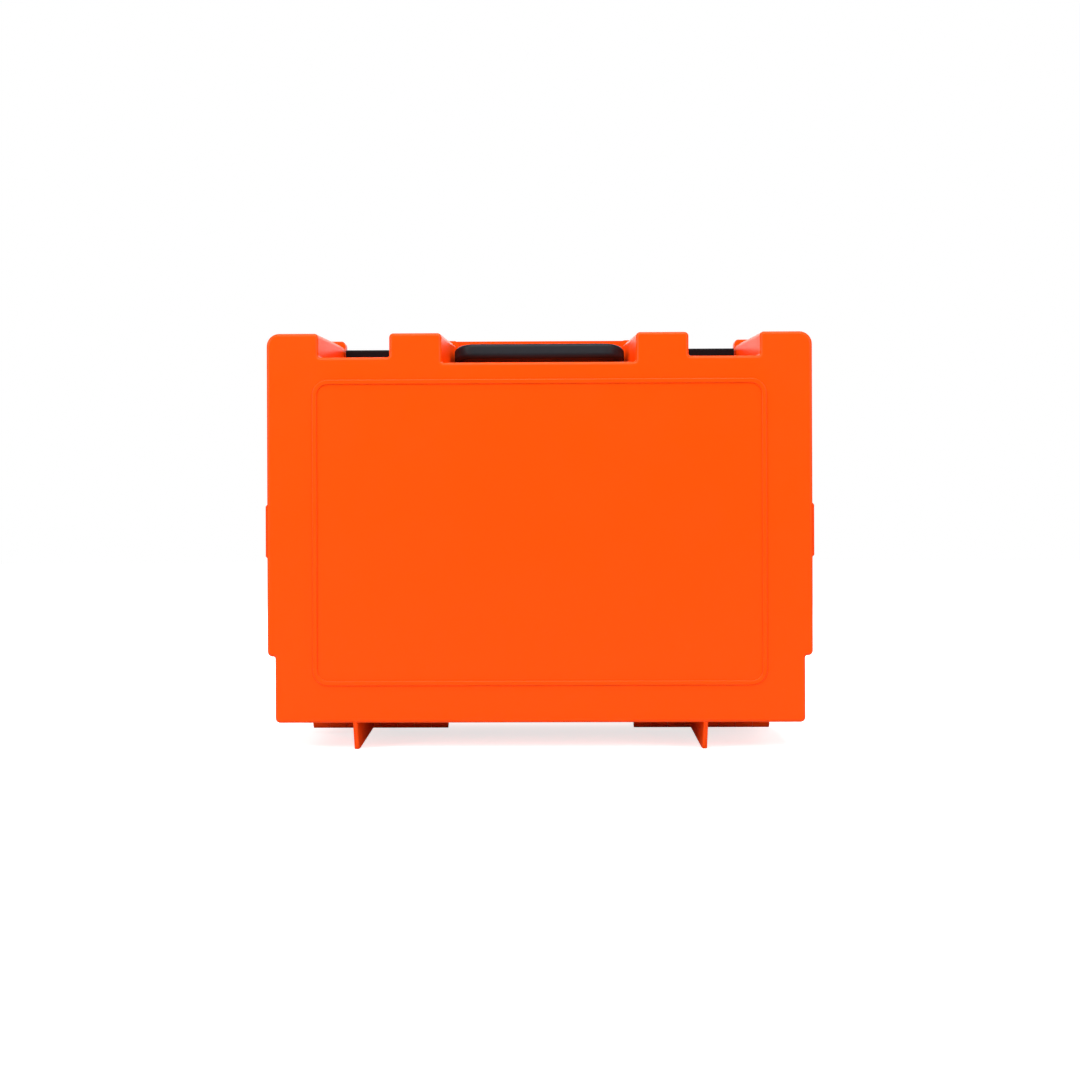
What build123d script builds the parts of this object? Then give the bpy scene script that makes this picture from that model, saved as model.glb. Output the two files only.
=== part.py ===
"""First aid case: two moulded half shells on a bottom hinge, two latches, a folding handle, and its contents.

The case stands upright on four fins. +X is to the right, +Y runs from the front shell (the lid, at -Y)
to the rear shell (the base, at +Y), and +Z is up. The origin is on the floor, under the middle of the case.
"""

from build123d import *
import os

# ---------------------------------------------------------------- shells
half_depth = 75.0  # from the parting plane to the outer face of a shell
face_half_width = 194.0  # outer face, above the side steps
step_in = 5.5  # how much narrower the case is below the side steps
step_height = 67.5
case_bottom = 20.2  # underside of a shell at its outer face
case_top = 297.6
growth = 2.0  # how much the draft widens a shell at the parting plane
wall = 2.8
flange_width = 4.0
flange_thick = 4.0
parting_gap = 0.2
top_corner = 9.0
side_corner = 3.5
step_corner = 1.5
face_round = 2.4

# ---------------------------------------------------------------- frame bead on the front
bead_from_side = 34.2
bead_from_bottom = 28.1
bead_from_top = 34.9
bead_corner = 9.5
bead_width = 3.4
bead_rise = 0.9

# ---------------------------------------------------------------- notches in the top
corner_tower_width = 36.7
latch_notch_width = 50.8  # at the outer face
latch_notch_in_flare = 2.0  # how much its inner wall moves out towards the parting plane
latch_notch_out_flare = 7.8
latch_notch_depth = 17.0
middle_tower_width = 37.1
handle_notch_flare = 6.9
handle_notch_depth = 21.0
tower_round = 3.0
floor_round = 1.6
flange_round = 3.6
tower_wall = 2.6

# ---------------------------------------------------------------- side grip pads
pad_middle = 156.7
pad_half_height = 17.8
pad_rise = 1.7
pad_ramp = 2.0

# ---------------------------------------------------------------- hinge and fins
pin_radius = 1.5
running_clearance = 0.05
knuckle_radius = 4.6
relief_gap = 0.5  # between a knuckle and the other shell's flange
knuckle_gap = 0.3
fin_clearance = 0.6  # between the fins of one shell and the other shell, when the case lies fully open
hinge_from_side = 18.5
knuckle_count = 8
knuckle_width = 13.0
fin_thick = 3.0
fin_left_from_side = 62.3
fin_right_from_side = 76.0
fin_tip_back = 9.0  # how far behind the outer face the fin meets the floor
fin_foot = 6.0  # length of the flat that stands on the floor
fin_inner_end = 7.5
fin_rise = 6.0  # height of the fin's edge at its inner end

# ---------------------------------------------------------------- latches
latch_pivot_y = 9.0
latch_pivot_rise = 9.6  # above the notch's floor
latch_hub = 4.4
latch_side_gap = 1.1
latch_rise = 15.4
latch_plate = 3.0
latch_front = -9.4
hook_wall = 2.8
hook_gap = 0.4
hook_clear = 3.4  # from the notch's floor to the end of the hook
finger_lip = 4.4
plate_gap = 0.8

# ---------------------------------------------------------------- handle
handle_side_gap = 0.6
handle_front = -48.5
handle_pivot_y = -10.4
handle_clear = 0.9  # between the handle's eyes and the notch's floor
handle_thick = 11.0
handle_tilt = 9.5  # how far the resting handle slopes up towards its grip, in degrees
handle_corner = 16.0
handle_spread = 4.5  # how much further out its front corners reach than its eyes
handle_inner_corner = 11.0
handle_leg = 6.6
handle_grip = 15.5
handle_round = 3.1
pivot_pin_radius = 2.0
pin_head = 1.4
pin_set = 5.0  # how deep a handle pin is set in the notch's side wall

# ---------------------------------------------------------------- seal
seal_width = 2.4
seal_depth = 2.0
seal_inset = 1.3  # from the cavity's edge to the groove

# ---------------------------------------------------------------- inside the rear shell
ceiling_wall = 3.2
divider_thick = 2.0
divider_front = 8.0
shelf_height = 150.0
upper_dividers = [-63.0, 63.0]
lower_dividers = [-80.0, 20.0]
fit_gap = 0.5
packed_front = 13.0  # the contents start this far behind the parting plane
cover_thick = 2.0
cover_front = 4.0
cover_edge = 1.7
ledge_thick = 3.0
ledge_reach = 5.0
ledge_half_height = 10.0
ledge_from_end = 24.0
knob_half_spacing = 100.0
knob_radius = 11.0
knob_head = 3.0
knob_grip = 4.0
knob_shaft = 3.0
knob_drop = 12.0  # below the ceiling
blade_half = 9.0
blade_thick = 2.0
keeper_width = 16.0
keeper_drop = 6.0

# ---------------------------------------------------------------- inside the front shell
guide_width = 148.0
guide_thick = 4.0
guide_margin = 20.0
guide_middle = -70.0
rail_width = 3.0
rail_rise = 6.6
pocket_thick = 1.2
scissors_x = 95.0
scissors_z = 140.0
scissors_metal = 1.6
scissors_blade = 68.0
scissors_ring = 15.0
scissors_post = 6.0

flange_bottom = case_bottom - growth - flange_width
hinge_height = (case_bottom - fin_clearance) / 2
hinge_end = face_half_width - hinge_from_side
hinge_starts = [hinge_end - knuckle_width * (knuckle_count - index) for index in range(knuckle_count)]
relief_radius = knuckle_radius + relief_gap
fin_front_left = fin_left_from_side - face_half_width  # the rear shell's fins mirror these
fin_front_right = face_half_width - fin_right_from_side
latch_notch_out_face = face_half_width - corner_tower_width
latch_notch_out_part = latch_notch_out_face - latch_notch_out_flare
latch_notch_in_face = latch_notch_out_face - latch_notch_width
latch_notch_in_part = latch_notch_in_face + latch_notch_in_flare
latch_floor = case_top - latch_notch_depth
latch_pivot_z = latch_floor + latch_pivot_rise
latch_top = latch_floor + latch_rise
hook_bottom = latch_floor + hook_clear
lip_top = latch_top - latch_plate - plate_gap
lip_thick = -latch_front - hook_wall - hook_gap
handle_notch_face = latch_notch_in_face - middle_tower_width
handle_notch_part = handle_notch_face - handle_notch_flare
handle_floor = case_top - handle_notch_depth
handle_flare = handle_notch_flare / half_depth  # how fast the notch widens towards the face
handle_low = handle_floor + handle_clear
handle_pivot_z = handle_low + handle_thick / 2
ceiling = handle_floor - ceiling_wall
bead_half_width = face_half_width - bead_from_side
bead_low = case_bottom + bead_from_bottom
bead_high = case_top - bead_from_top
inner_face = half_depth - wall
inner_half = face_half_width - wall
low_floor = case_bottom + wall
rooted = 0.6  # how far a rib or post is sunk into the wall that carries it
rail_offset = guide_width / 2 + fit_gap + rail_width / 2
guide_low = low_floor + guide_margin
guide_high = ceiling - guide_margin
knob_z = ceiling - knob_drop
cover_back = cover_front + cover_thick
tower_top_part = case_top + growth
flange_top = tower_top_part + flange_width
sides = {"left": -1, "right": 1}

os.makedirs("parts", exist_ok=True)


def save(part, name):
    """Labels a finished piece and writes its STEP file."""
    part.label = name
    export_step(part, f"parts/{name}.step")


def face_plane(side, distance):
    """The upright plane at that distance from the parting plane: side -1 is the front, 1 the rear."""
    return Plane.XZ.offset(-side * distance)


def corners_at(outline, *points):
    """The corners of a flat outline that lie at those points."""
    return [v for v in outline.vertices() if min(abs(v.X - x) + abs(v.Y - y) for x, y in points) < 0.01]


def stepped_outline(half_width, low, high, step, corner, low_corner=side_corner, inner_corner=step_corner):
    """The case's outline seen from the front, narrower below the step."""
    narrow = half_width - step_in
    with BuildSketch(Plane.XY) as outline:
        with BuildLine():
            Polyline(
                (-narrow, low),
                (narrow, low),
                (narrow, step),
                (half_width, step),
                (half_width, high),
                (-half_width, high),
                (-half_width, step),
                (-narrow, step),
                close=True,
            )
        make_face()
        fillet(corners_at(outline, (-half_width, high), (half_width, high)), corner)
        fillet(corners_at(outline, (-narrow, low), (narrow, low)), low_corner)
        fillet(corners_at(outline, (-half_width, step), (half_width, step)), low_corner)
        fillet(corners_at(outline, (-narrow, step), (narrow, step)), inner_corner)
    return outline.sketch


def outer_outline(grow):
    """The outline of a shell's outside, that much wider than at its face."""
    return stepped_outline(
        face_half_width + grow,
        case_bottom - grow,
        case_top + grow,
        step_height - grow,
        top_corner + grow,
    )


def notch_outline(span, floor, top, rounding):
    """A notch over that span of X, open upwards, with a round mouth."""
    left, right = span
    mouth = rounding + 1.0
    above = 20.0
    with BuildSketch(Plane.XY) as notch:
        with BuildLine():
            Polyline(
                (left, floor),
                (right, floor),
                (right, top),
                (right + mouth, top),
                (right + mouth, top + above),
                (left - mouth, top + above),
                (left - mouth, top),
                (left, top),
                close=True,
            )
        make_face()
        fillet(corners_at(notch, (left, floor), (right, floor)), floor_round)
        fillet(corners_at(notch, (left, top), (right, top)), rounding)
    return notch.sketch


def notches(side):
    """(left, right) at the outer face, (left, right) at the parting plane, and floor, for each notch."""
    found = []
    for hand in sides.values():
        at_face = sorted([hand * latch_notch_in_face, hand * latch_notch_out_face])
        at_part = sorted([hand * latch_notch_in_part, hand * latch_notch_out_part])
        found.append((at_face, at_part, latch_floor))
    if side < 0:
        at_face = [-handle_notch_face, handle_notch_face]
        at_part = [-handle_notch_part, handle_notch_part]
        found.append((at_face, at_part, handle_floor))
    return found


def notched_outline(side, grow):
    """A shell's outside with its notches, that much wider than at its face."""
    top, above = case_top + grow, 20.0
    with BuildSketch(Plane.XY) as outline:
        add(outer_outline(grow))
        tower_corners = []
        for at_face, at_part, floor in notches(side):
            left, right = at_part if grow else at_face
            with Locations(((left + right) / 2, (floor + top + above) / 2)):
                Rectangle(right - left, top + above - floor, mode=Mode.SUBTRACT)
            fillet(corners_at(outline, (left, floor), (right, floor)), floor_round)
            tower_corners += [(left, top), (right, top)]
        fillet(corners_at(outline, *tower_corners), tower_round)
    return outline.sketch


def shell_blank(side):
    """The drafted outer block of a shell with its notches, a rounded face and the front's raised frame."""
    at_face, at_part = notched_outline(side, 0), notched_outline(side, growth)
    bead_middle = (bead_low + bead_high) / 2
    with BuildPart() as blank:
        with BuildSketch(face_plane(side, half_depth)):
            add(at_face)
        with BuildSketch(face_plane(side, parting_gap / 2)):
            add(at_part)
        loft(ruled=True)
        face = blank.faces().sort_by(Axis.Y)[0 if side < 0 else -1]
        fillet(face.edges(), face_round)
        if side < 0:
            with BuildSketch(face_plane(side, half_depth - 0.5)):
                for edge, mode in ((bead_width / 2, Mode.ADD), (-bead_width / 2, Mode.SUBTRACT)):
                    with Locations((0, bead_middle)):
                        RectangleRounded(
                            2 * (bead_half_width + edge),
                            bead_high - bead_low + 2 * edge,
                            bead_corner + edge,
                            mode=mode,
                        )
            extrude(amount=-side * (0.5 + bead_rise))
            crest = blank.faces().sort_by(Axis.Y)[0]
            fillet(crest.edges(), bead_rise - 0.1)
    return blank.part


def pad_section(hand, grow):
    """A side pad's outline seen from the front, that much further out than at the shell's face."""
    inside = face_half_width - wall / 2 + grow
    surface = face_half_width + grow
    top, reach = pad_middle + pad_half_height, surface + pad_rise
    bottom = pad_middle - pad_half_height
    with BuildSketch(Plane.XY) as section:
        with BuildLine():
            Polyline(
                (hand * inside, bottom - pad_ramp),
                (hand * surface, bottom - pad_ramp),
                (hand * reach, bottom),
                (hand * reach, top),
                (hand * surface, top + pad_ramp),
                (hand * inside, top + pad_ramp),
                close=True,
            )
        make_face()
    return section.sketch


def side_pad(side, hand):
    """The raised grip pad half way up one side wall."""
    near_face, at_flange = pad_section(hand, 0.1), pad_section(hand, growth)
    with BuildPart() as pad:
        with BuildSketch(face_plane(side, half_depth - face_round - 2)):
            add(near_face)
        with BuildSketch(face_plane(side, flange_thick - 1)):
            add(at_flange)
        loft(ruled=True)
    return pad.part


def rim_flange(side):
    """The flange round the parting plane, open at the notches."""
    rim = outer_outline(growth + flange_width)
    openings = [notch_outline(span, floor, flange_top, flange_round) for _, span, floor in notches(side)]
    with BuildPart() as flange:
        with BuildSketch(face_plane(side, parting_gap / 2)):
            add(rim)
        extrude(amount=-side * (flange_thick - parting_gap / 2))
        far_side = flange.faces().sort_by(Axis.Y)[0 if side < 0 else -1]
        fillet(far_side.edges(), 1.0)
        for opening in openings:
            with BuildSketch(face_plane(side, 0)):
                add(opening)
            extrude(amount=-side * (flange_thick + 1), mode=Mode.SUBTRACT)
    return flange.part


def cavity(side):
    """The main hollow, and the hollows of the towers beside the notches, all open at the parting plane."""
    at_face = stepped_outline(
        face_half_width - wall, case_bottom + wall, ceiling, step_height + wall, top_corner
    )
    at_part = stepped_outline(
        face_half_width - wall + growth,
        case_bottom + wall - growth,
        ceiling,
        step_height + wall - growth,
        top_corner,
    )
    tower_low, tower_high = latch_floor + 1.0, case_top - wall
    tower_middle = (tower_low + tower_high) / 2
    corner_tower = (latch_notch_out_face + tower_wall, face_half_width - wall - 1.0)
    middle_tower = (handle_notch_face + tower_wall, latch_notch_in_face - tower_wall)
    beam_front, beam_side = flange_thick - 0.6, 1.5
    with BuildPart() as hollow:
        with BuildSketch(face_plane(side, inner_face)):
            add(at_face)
        with BuildSketch(face_plane(side, 0)):
            add(at_part)
        loft(ruled=True)
        for low, high in (corner_tower, middle_tower):
            with BuildSketch(face_plane(side, 0)):
                with Locations(((low + high) / 2, tower_middle), (-(low + high) / 2, tower_middle)):
                    RectangleRounded(high - low, tower_high - tower_low, 2.0)
            extrude(amount=-side * inner_face)
        if side > 0:  # the beam that carries the handle is hollow from below
            with BuildSketch(face_plane(side, beam_front)):
                with Locations((0, (ceiling - 3 + tower_high) / 2)):
                    Rectangle(2 * (handle_notch_part - beam_side), tower_high - ceiling + 3)
            extrude(amount=-side * (inner_face - beam_front))
    return hollow.part


def fin(side, x):
    """One standing fin: a short foot near the outer face, rising to the hinge. Its sides have the draft too."""
    outer, foot = side * (half_depth - face_round / 2), side * (half_depth - fin_tip_back)
    inner, root = side * fin_inner_end, case_bottom + 1.0
    at_face, at_part = fin_thick / 2, fin_thick / 2 + growth
    with BuildPart() as one:
        with BuildSketch(Plane.YZ.offset(x - at_part)) as blade:
            with BuildLine():
                Polyline(
                    (outer, root),
                    (outer, case_bottom - 0.5),
                    (foot, 0),
                    (foot - side * fin_foot, 0),
                    (inner, fin_rise),
                    (inner, root),
                    close=True,
                )
            make_face()
            fillet(corners_at(blade.sketch_local, (foot, 0)), 1.5)
        extrude(amount=2 * at_part)
        with BuildSketch(Plane.XY):
            with BuildLine():
                Polyline(
                    (x - at_face, side * half_depth),
                    (x + at_face, side * half_depth),
                    (x + at_part, 0),
                    (x - at_part, 0),
                    close=True,
                )
            make_face()
        extrude(amount=root, mode=Mode.INTERSECT)
        edges = one.edges().filter_by(lambda e: e.center().Z < case_bottom - 2)
        fillet(edges.filter_by(Axis.X, reverse=True), 0.7)
    return one.part


def hinge_spans(own):
    """(start, end) of each knuckle that belongs to the front shell (own -1) or the rear shell (own 1)."""
    ends = hinge_starts[1:] + [hinge_end]
    spans = []
    for index, (start, end) in enumerate(zip(hinge_starts, ends)):
        if (index % 2 == 0) == (own > 0):
            spans.append((start, end))
    return spans


def along_x(start, end, y, z, radius):
    """A round bar along X, from start to end."""
    with BuildPart() as bar:
        with BuildSketch(Plane.YZ.offset(min(start, end))):
            with Locations((y, z)):
                Circle(radius)
        extrude(amount=abs(end - start))
    return bar.part


def knuckles(side):
    """A shell's knuckles and the webs that hang them from its flange."""
    with BuildPart() as group:
        for hand in sides.values():
            for start, end in hinge_spans(side):
                low = min(hand * (start + knuckle_gap / 2), hand * (end - knuckle_gap / 2))
                length = end - start - knuckle_gap
                with BuildSketch(Plane.YZ.offset(low)):
                    with Locations((0, hinge_height)):
                        Circle(knuckle_radius)
                    web_inner = side * parting_gap
                    web_outer = side * flange_thick
                    with Locations(((web_inner + web_outer) / 2, (hinge_height + flange_bottom + 1) / 2)):
                        Rectangle(abs(web_outer - web_inner), flange_bottom + 1 - hinge_height)
                extrude(amount=length)
    return group.part


def shell(side):
    """Everything that both half shells have: walls, flange, notches, hollow, fins and knuckles."""
    blank, flange, hollow = shell_blank(side), rim_flange(side), cavity(side)
    pads = [side_pad(side, hand) for hand in sides.values()]
    fins = [fin(side, -side * fin_front_left), fin(side, -side * fin_front_right)]
    reliefs = []
    bores = []
    for hand in sides.values():
        bores.append(
            along_x(
                hand * (hinge_starts[0] - 1),
                hand * (hinge_end + 1),
                0,
                hinge_height,
                pin_radius + running_clearance,
            )
        )
        for start, end in hinge_spans(-side):
            low, high = hand * (start - knuckle_gap / 2), hand * (end + knuckle_gap / 2)
            reliefs.append(along_x(low, high, 0, hinge_height, relief_radius))
    own_knuckles = knuckles(side)
    with BuildPart() as half:
        add(blank)
        add(pads)
        add(flange)
        add(fins)
        add(hollow, mode=Mode.SUBTRACT)
        add(reliefs, mode=Mode.SUBTRACT)
        add(own_knuckles)
        add(bores, mode=Mode.SUBTRACT)
    return half.part


# ================================================================ front shell (the lid)
front_blank = shell(-1)
handle_back = handle_pivot_y + handle_thick / 2
handle_half = handle_notch_part - handle_flare * handle_back - handle_side_gap
handle_pin_end = handle_half + handle_side_gap + pin_set
handle_bores = [
    along_x(
        hand * (handle_half - handle_leg),
        hand * (handle_pin_end + 0.1),
        handle_pivot_y,
        handle_pivot_z,
        pivot_pin_radius + running_clearance,
    )
    for hand in sides.values()
]
with BuildPart() as front_shell:
    add(front_blank)
    add(handle_bores, mode=Mode.SUBTRACT)
    # catch lips that the latches hook over
    with BuildSketch(Plane.XY.offset(latch_floor - 1.0)):
        for hand in sides.values():
            middle = hand * (latch_notch_in_part + latch_notch_out_part) / 2
            with Locations((middle, -(lip_thick + parting_gap / 2) / 2)):
                Rectangle(latch_notch_out_part - latch_notch_in_part + 2 * wall, lip_thick - parting_gap / 2)
    extrude(amount=lip_top - latch_floor + 1.0)
    # rails that hold the first aid guide and its pocket against the inner face
    with BuildSketch(face_plane(-1, inner_face + rooted)):
        for x in (guide_middle - rail_offset, guide_middle + rail_offset):
            with Locations((x, (guide_low + guide_high) / 2)):
                Rectangle(rail_width, guide_high - guide_low + 2 * rail_width)
        with Locations((guide_middle, guide_low - rail_width / 2)):
            Rectangle(2 * rail_offset, rail_width)
    extrude(amount=-(rail_rise + rooted))
    # post that the scissors are clipped to
    with BuildSketch(face_plane(-1, inner_face + rooted)):
        with Locations((scissors_x, scissors_z)):
            Circle(scissors_post)
    extrude(amount=-(rail_rise + rooted))
save(front_shell.part, "front_shell")

# ================================================================ rear shell (the base)
rear_blank = shell(1)
latch_bores = [
    along_x(
        hand * (latch_notch_in_part - 4.5),
        hand * (latch_notch_out_part + 3.5),
        latch_pivot_y,
        latch_pivot_z,
        pin_radius + running_clearance,
    )
    for hand in sides.values()
]
seal_line = face_half_width - wall + growth + seal_inset + seal_width / 2


def seal_loop(width):
    """The seal's closed loop, with that width of section."""
    low = case_bottom + wall - growth - seal_inset - seal_width / 2
    high = ceiling + seal_inset + seal_width / 2
    step = step_height + wall - growth - seal_inset - seal_width / 2
    loops = []
    for edge in (width / 2, -width / 2):
        round_low, round_in = 0.8 * seal_width + edge, seal_width - edge
        loops.append(
            stepped_outline(
                seal_line + edge, low - edge, high + edge, step - edge, top_corner + edge, round_low, round_in
            )
        )
    return loops[0] - loops[1]


seal_groove, seal_ring = seal_loop(seal_width + 0.1), seal_loop(seal_width)

with BuildPart() as rear_shell:
    add(rear_blank)
    add(latch_bores, mode=Mode.SUBTRACT)
    # groove for the seal
    with BuildSketch(face_plane(1, 0)):
        add(seal_groove)
    extrude(amount=-(seal_depth + 0.1), mode=Mode.SUBTRACT)
    # keepers that the cover's quarter-turn knobs grip, hung from the ceiling
    with BuildSketch(face_plane(1, cover_back + knuckle_gap)):
        keeper_middle = ceiling + (rooted - keeper_drop) / 2
        with Locations((-knob_half_spacing, keeper_middle), (knob_half_spacing, keeper_middle)):
            Rectangle(keeper_width, keeper_drop + rooted)
    extrude(amount=-ledge_thick + knuckle_gap)
    # ledges that the cover lies on
    with BuildSketch(face_plane(1, cover_back)):
        for half, z in (
            (inner_half + growth, ceiling - ledge_from_end),
            (inner_half + growth - step_in, low_floor + ledge_from_end),
        ):
            with Locations((half - ledge_reach, z), (ledge_reach - half, z)):
                Rectangle(2 * (ledge_reach + rooted), 2 * ledge_half_height)
    extrude(amount=-ledge_thick)
save(rear_shell.part, "rear_shell")

# ================================================================ seal
with BuildPart() as rim_seal:
    with BuildSketch(face_plane(1, parting_gap / 2 + 0.1)):
        add(seal_ring)
    extrude(amount=-(seal_depth - 0.2))
save(rim_seal.part, "rim_seal")

# ================================================================ hinge pins
for name, hand in sides.items():
    with BuildPart() as hinge_pin:
        with BuildSketch(Plane.YZ.offset(min(hand * hinge_starts[0], hand * hinge_end))):
            with Locations((0, hinge_height)):
                Circle(pin_radius)
        extrude(amount=hinge_end - hinge_starts[0])
        chamfer(hinge_pin.edges(), 0.4)
    save(hinge_pin.part, f"hinge_pin_{name}")

# ================================================================ latches
for name, hand in sides.items():
    low = hand * (latch_notch_in_part + latch_notch_out_part) / 2
    latch_width = latch_notch_out_part - latch_notch_in_part - 2 * latch_side_gap
    with BuildPart() as latch:
        with BuildSketch(Plane.YZ.offset(low - latch_width / 2)):
            with BuildLine():
                Polyline(
                    (latch_pivot_y, latch_top),
                    (latch_front + 1.2, latch_top),
                    (latch_front, latch_top - 1.2),
                    (latch_front, hook_bottom + 2.4),
                    (latch_front - finger_lip, hook_bottom + 1.4),
                    (latch_front - finger_lip, hook_bottom - 0.6),
                    (latch_front + hook_wall, hook_bottom),
                    (latch_front + hook_wall, latch_top - latch_plate),
                    (latch_pivot_y, latch_top - latch_plate),
                    close=True,
                )
            make_face()
            with Locations((latch_pivot_y, latch_pivot_z)):
                Circle(latch_hub)
            with Locations((latch_pivot_y, (latch_pivot_z + latch_top) / 2)):
                Rectangle(2 * latch_hub, latch_top - latch_pivot_z)
            with Locations((latch_pivot_y, latch_pivot_z)):
                Circle(pin_radius + running_clearance, mode=Mode.SUBTRACT)
        extrude(amount=latch_width)
        # three grip grooves across the top
        with BuildSketch(Plane.XY.offset(latch_top)):
            for row in range(3):
                with Locations((low, latch_front + 3.6 + 2.4 * row)):
                    SlotOverall(latch_width - 10, 1.1)
        extrude(amount=-0.6, mode=Mode.SUBTRACT)
    save(latch.part, f"latch_{name}")
    with BuildPart() as latch_pin:
        with BuildSketch(Plane.YZ.offset(min(hand * (latch_notch_in_part - 4), hand * (latch_notch_out_part + 3)))):
            with Locations((latch_pivot_y, latch_pivot_z)):
                Circle(pin_radius)
        extrude(amount=latch_notch_out_part - latch_notch_in_part + 7)
        chamfer(latch_pin.edges(), 0.4)
    save(latch_pin.part, f"latch_pin_{name}")

# ================================================================ handle
opening_front = handle_front + handle_grip
opening_back = handle_back + 5
handle_bend = handle_pivot_y - (case_top - handle_pivot_z) - 2.0  # above the towers when upright


# parallel legs, which stay clear of the notch's walls as the handle swings, then spreading
with BuildSketch(Plane.XY) as handle_plan:
    with BuildLine():
        Polyline(
            (-handle_half, handle_back),
            (handle_half, handle_back),
            (handle_half, handle_bend),
            (handle_half + handle_spread, handle_front),
            (-handle_half - handle_spread, handle_front),
            (-handle_half, handle_bend),
            close=True,
        )
    make_face()
    front_corners = [(hand * (handle_half + handle_spread), handle_front) for hand in sides.values()]
    fillet(corners_at(handle_plan, *front_corners), handle_corner)
    bends = [(hand * handle_half, handle_bend) for hand in sides.values()]
    fillet(corners_at(handle_plan, *bends), handle_corner)
    opening_half = handle_half - handle_leg
    with Locations((0, (opening_front + opening_back) / 2)):
        Rectangle(2 * opening_half, opening_back - opening_front, mode=Mode.SUBTRACT)
    opening_corners = [(hand * opening_half, opening_front) for hand in sides.values()]
    fillet(corners_at(handle_plan, *opening_corners), handle_inner_corner)
handle_eyes = along_x(
    -handle_half - 1,
    handle_half + 1,
    handle_pivot_y,
    handle_pivot_z,
    pivot_pin_radius + running_clearance,
)
with BuildPart() as level_handle:
    with BuildSketch(Plane.XY.offset(handle_low)):
        add(handle_plan.sketch)
    extrude(amount=handle_thick)
    # round eyes at the pivot
    eye_edges = level_handle.edges().filter_by(Axis.X).filter_by(lambda e: e.center().Y > handle_pivot_y)
    fillet(eye_edges, handle_thick / 2 - 0.05)
    # soft edges on the bail
    level_edges = level_handle.edges().filter_by(lambda e: abs(e.bounding_box().size.Z) < 0.01)
    ahead = level_edges.filter_by(lambda e: e.bounding_box().min.Y < handle_front + handle_corner)
    fillet(ahead, handle_round)
    add(handle_eyes, mode=Mode.SUBTRACT)
with BuildPart() as handle:
    add(level_handle.part.rotate(Axis((0, handle_pivot_y, handle_pivot_z), (1, 0, 0)), -handle_tilt))
save(handle.part, "handle")

for name, hand in sides.items():
    pin_start = hand * (handle_half - handle_leg - 0.4)
    with BuildPart() as handle_pin:
        with BuildSketch(Plane.YZ.offset(min(pin_start, hand * handle_pin_end))):
            with Locations((handle_pivot_y, handle_pivot_z)):
                Circle(pivot_pin_radius)
        extrude(amount=abs(hand * handle_pin_end - pin_start))
        with BuildSketch(Plane.YZ.offset(pin_start)):
            with Locations((handle_pivot_y, handle_pivot_z)):
                Circle(pivot_pin_radius + pin_head)
        extrude(amount=-hand * pin_head)
    save(handle_pin.part, f"handle_pin_{name}")


# ================================================================ dividers
def upright(x, low, high):
    """A divider wall at that X."""
    with BuildPart() as one:
        with BuildSketch(Plane.XY.offset(low)):
            with Locations((x, (divider_front + inner_face) / 2)):
                Rectangle(divider_thick, inner_face - divider_front)
        extrude(amount=high - low)
    return one.part


shelf_low = shelf_height - divider_thick
uprights = [upright(x, low_floor, shelf_low) for x in lower_dividers]
uprights += [upright(x, shelf_height, ceiling - fit_gap) for x in upper_dividers]
with BuildPart() as divider_insert:
    with BuildSketch(Plane.XY.offset(shelf_low)):
        with Locations((0, (divider_front + inner_face) / 2)):
            Rectangle(2 * (inner_half - fit_gap), inner_face - divider_front)
    extrude(amount=divider_thick)
    add(uprights)
save(divider_insert.part, "divider_insert")

# ================================================================ clear cover and its knobs
cover_half = inner_half - step_in - cover_edge
cover_low, cover_high = low_floor + cover_edge, ceiling - cover_edge
with BuildPart() as clear_cover:
    with BuildSketch(face_plane(1, cover_front)):
        with Locations((0, (cover_low + cover_high) / 2)):
            RectangleRounded(2 * cover_half, cover_high - cover_low, top_corner)
        with Locations((-knob_half_spacing, knob_z), (knob_half_spacing, knob_z)):
            Circle(knob_shaft + running_clearance, mode=Mode.SUBTRACT)
    extrude(amount=-cover_thick)
save(clear_cover.part, "clear_cover")

blade_front = cover_back + ledge_thick + knuckle_gap
for name, hand in sides.items():
    x = hand * knob_half_spacing
    with BuildPart() as cover_knob:
        with BuildSketch(face_plane(1, cover_front - knuckle_gap)):
            with Locations((x, knob_z)):
                Circle(knob_radius)
        extrude(amount=knob_head)
        fillet(cover_knob.faces().sort_by(Axis.Y)[0].edges(), 1.0)
        with BuildSketch(face_plane(1, cover_front - knuckle_gap - knob_head)):
            with Locations((x, knob_z)):
                RectangleRounded(knob_grip, 1.7 * knob_radius, 1.5)
        extrude(amount=knob_grip)
        with BuildSketch(face_plane(1, cover_front - knuckle_gap)):
            with Locations((x, knob_z)):
                Circle(knob_shaft)
        extrude(amount=cover_front - knuckle_gap - blade_front - blade_thick)
        with BuildSketch(face_plane(1, blade_front)):
            with Locations((x, knob_z)):
                RectangleRounded(5.0, 2 * blade_half, 1.0)
        extrude(amount=-blade_thick)
    save(cover_knob.part, f"cover_knob_{name}")

# ================================================================ contents
lower_walls = [step_in - inner_half] + lower_dividers + [inner_half - step_in]
upper_walls = [-inner_half] + upper_dividers + [inner_half]
packed_back = inner_face - fit_gap


def cell(walls, column, low, high):
    """The free space of a compartment: its two ends in X, its floor and its top."""
    left = walls[column] + divider_thick / 2 + fit_gap
    right = walls[column + 1] - divider_thick / 2 - fit_gap
    return left, right, low, high - fit_gap


def packet(spans, rounding):
    """A closed packet or carton that fills those spans of X, Y and Z, with rounded edges."""
    (x_low, x_high), (y_low, y_high), (z_low, z_high) = spans
    with BuildPart() as one:
        with BuildSketch(Plane.XY.offset(z_low)):
            with Locations(((x_low + x_high) / 2, (y_low + y_high) / 2)):
                Rectangle(x_high - x_low, y_high - y_low)
        extrude(amount=z_high - z_low)
        fillet(one.edges(), rounding)
    return one.part


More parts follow.
